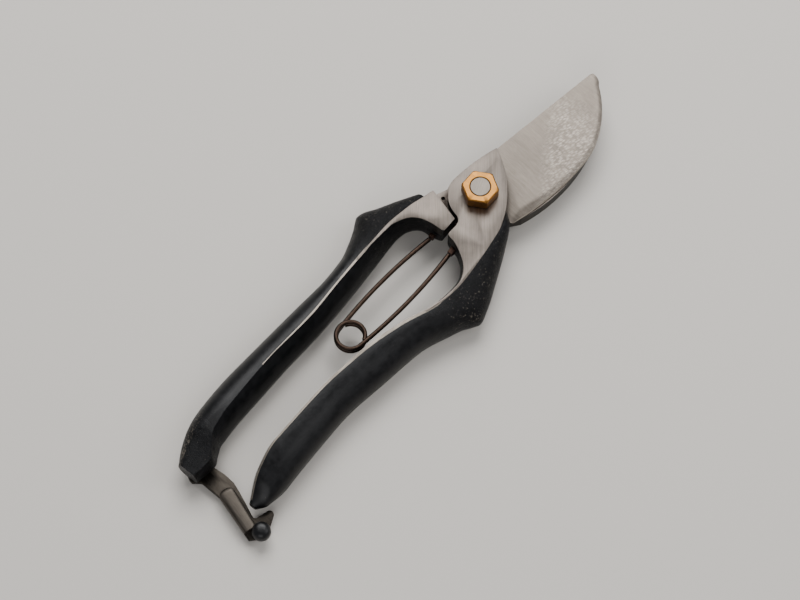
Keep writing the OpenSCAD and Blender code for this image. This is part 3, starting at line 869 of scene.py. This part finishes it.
# %% Latch
lever_edge = (arc((RIVET[0] - 4.2, RIVET[1]), (RIVET[0], RIVET[1] + 4.2), (RIVET[0] + 4.2, RIVET[1]), 16)
              + [(-129.2, 5.0)] + arc((-129.5, 0.7), (-131.4, -4.4), (-134.2, -10.9), 8)
              + arc((-134.5, -11.9), (-134.4, -12.6), (-133.6, -13.0), 5)
              + arc((-129.6, -14.3), (-129.0, -15.3), (-129.5, -16.5), 6)
              + [(-133.4, -18.2), (-139.0, -18.0), (-141.4, -15.8), (-136.4, 1.1), (-136.2, 8.9)])
lever = plate("latch_plate", lever_edge, LEVER_Z, LEVER_Z + LEVER_T, [LATCH_STEEL])
drill(lever, RIVET[0], RIVET[1], 1.85)
soften(lever, 0.2, 2)


def bar_mesh():
    """The raised bar along the lever: rounded on top, with a round nose at its start."""
    start, end = Vector((-133.4, 1.5, 0)), Vector((-138.6, -14.4, 0))
    half_from, half_to, nose_part = 2.85, 2.40, 0.13
    along = (end - start).normalized()
    side = Vector((-along.y, along.x, 0))
    length = (end - start).length
    base = LEVER_Z + LEVER_T
    points = []
    spans, around = 40, 16
    for k in range(spans + 1):
        t = (k / spans) ** 1.4
        nose = math.sqrt(1.0 - (1.0 - t / nose_part) ** 2) if t < nose_part else 1.0
        half = (half_from + (half_to - half_from) * t) * max(0.12, nose)
        centre = start + along * (length * t)
        for i in range(around + 1):
            a = math.pi * i / around
            flat = math.copysign(abs(math.cos(a)) ** 0.6, math.cos(a))
            points.append(centre + side * (half * flat)
                          + Vector((0, 0, base - 0.1 + (0.6 + 2.0 * nose) * math.sin(a) ** 0.45)))
    faces = ring_quads(spans + 1, around + 1) + ring_caps(spans + 1, around + 1)
    return mesh_piece("latch_bar", points, faces, [BAR_STEEL], None, 45.0)


bar = bar_mesh()
knob = turned("latch_knob_round",
              [(2.2, 0.0), (2.9, 0.35), (3.2, 1.0), (3.2, 2.2), (3.0, 3.1), (2.5, 3.8), (1.7, 4.25),
               (0.8, 4.38), (0.01, 4.4)], [KNOB_LACQUER])
moved(knob, -136.9, -17.6, LEVER_Z + LEVER_T + 0.01)
rivet = turned("latch_rivet_head", [(2.4, 0.0), (2.9, 0.25), (3.1, 0.85), (1.8, 0.9), (1.8, 8.5)],
               [SHADE_DARK_STEEL])
moved(rivet, RIVET[0], RIVET[1])
print("latch:", len(lever.data.polygons) + len(bar.data.polygons) + len(knob.data.polygons), "faces")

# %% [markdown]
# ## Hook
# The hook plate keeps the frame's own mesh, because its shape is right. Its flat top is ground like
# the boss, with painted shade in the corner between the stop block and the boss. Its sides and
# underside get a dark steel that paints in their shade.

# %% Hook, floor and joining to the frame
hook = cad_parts["hook_plate"]
hook.data.materials.clear()
hook.data.materials.append(SHADE_DARK_STEEL)
hook.data.materials.append(LAP_STEEL)
# faces that point up get the ground lap steel; all other faces get the dark steel that paints their shade
for polygon in hook.data.polygons:
    polygon.material_index = 1 if polygon.normal.z > 0.5 else 0

floor_mesh = bpy.data.meshes.new("floor")
floor_mesh.from_pydata([(-3, -3, 0), (3, -3, 0), (3, 3, 0), (-3, 3, 0)], [], [[0, 1, 2, 3]])
floor_mesh.materials.append(FLOOR)
floor = bpy.data.objects.new("floor", floor_mesh)
bpy.context.scene.collection.objects.link(floor)

for piece, body, nodes, slot in (
        (right_forging, "blade_half", ["right_handle"], "black_coat"),
        (boss, "blade_half", ["blade_boss"], "boss_steel"),
        (blade, "blade_half", ["blade"], "blade_steel"),
        (right_seat, "blade_half", ["right_spring_seat"], "brown_steel"),
        (left_forging, "hook_half", ["left_handle"], "black_coat"),
        (block, "hook_half", [], "boss_steel"),
        (left_seat, "hook_half", ["left_spring_seat"], "brown_steel"),
        (nut, "hook_half", ["pivot_nut"], "brass"),
        (bolt, "hook_half", ["pivot_bolt"], "boss_steel"),
        (rivet, "hook_half", ["latch_rivet"], "dark_steel"),
        (lever, "latch", ["latch_lever"], "latch_steel"),
        (bar, "latch", [], "latch_steel"),
        (knob, "latch", ["latch_knob"], "black_coat"),
        (left_wire, "spring_left", ["spring_coil"], "brown_steel"),
        (right_wire, "spring_right", ["spring_leg"], "brown_steel")):
    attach(piece, body)
    if nodes:
        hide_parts(*nodes)

print("pieces joined to the frame")
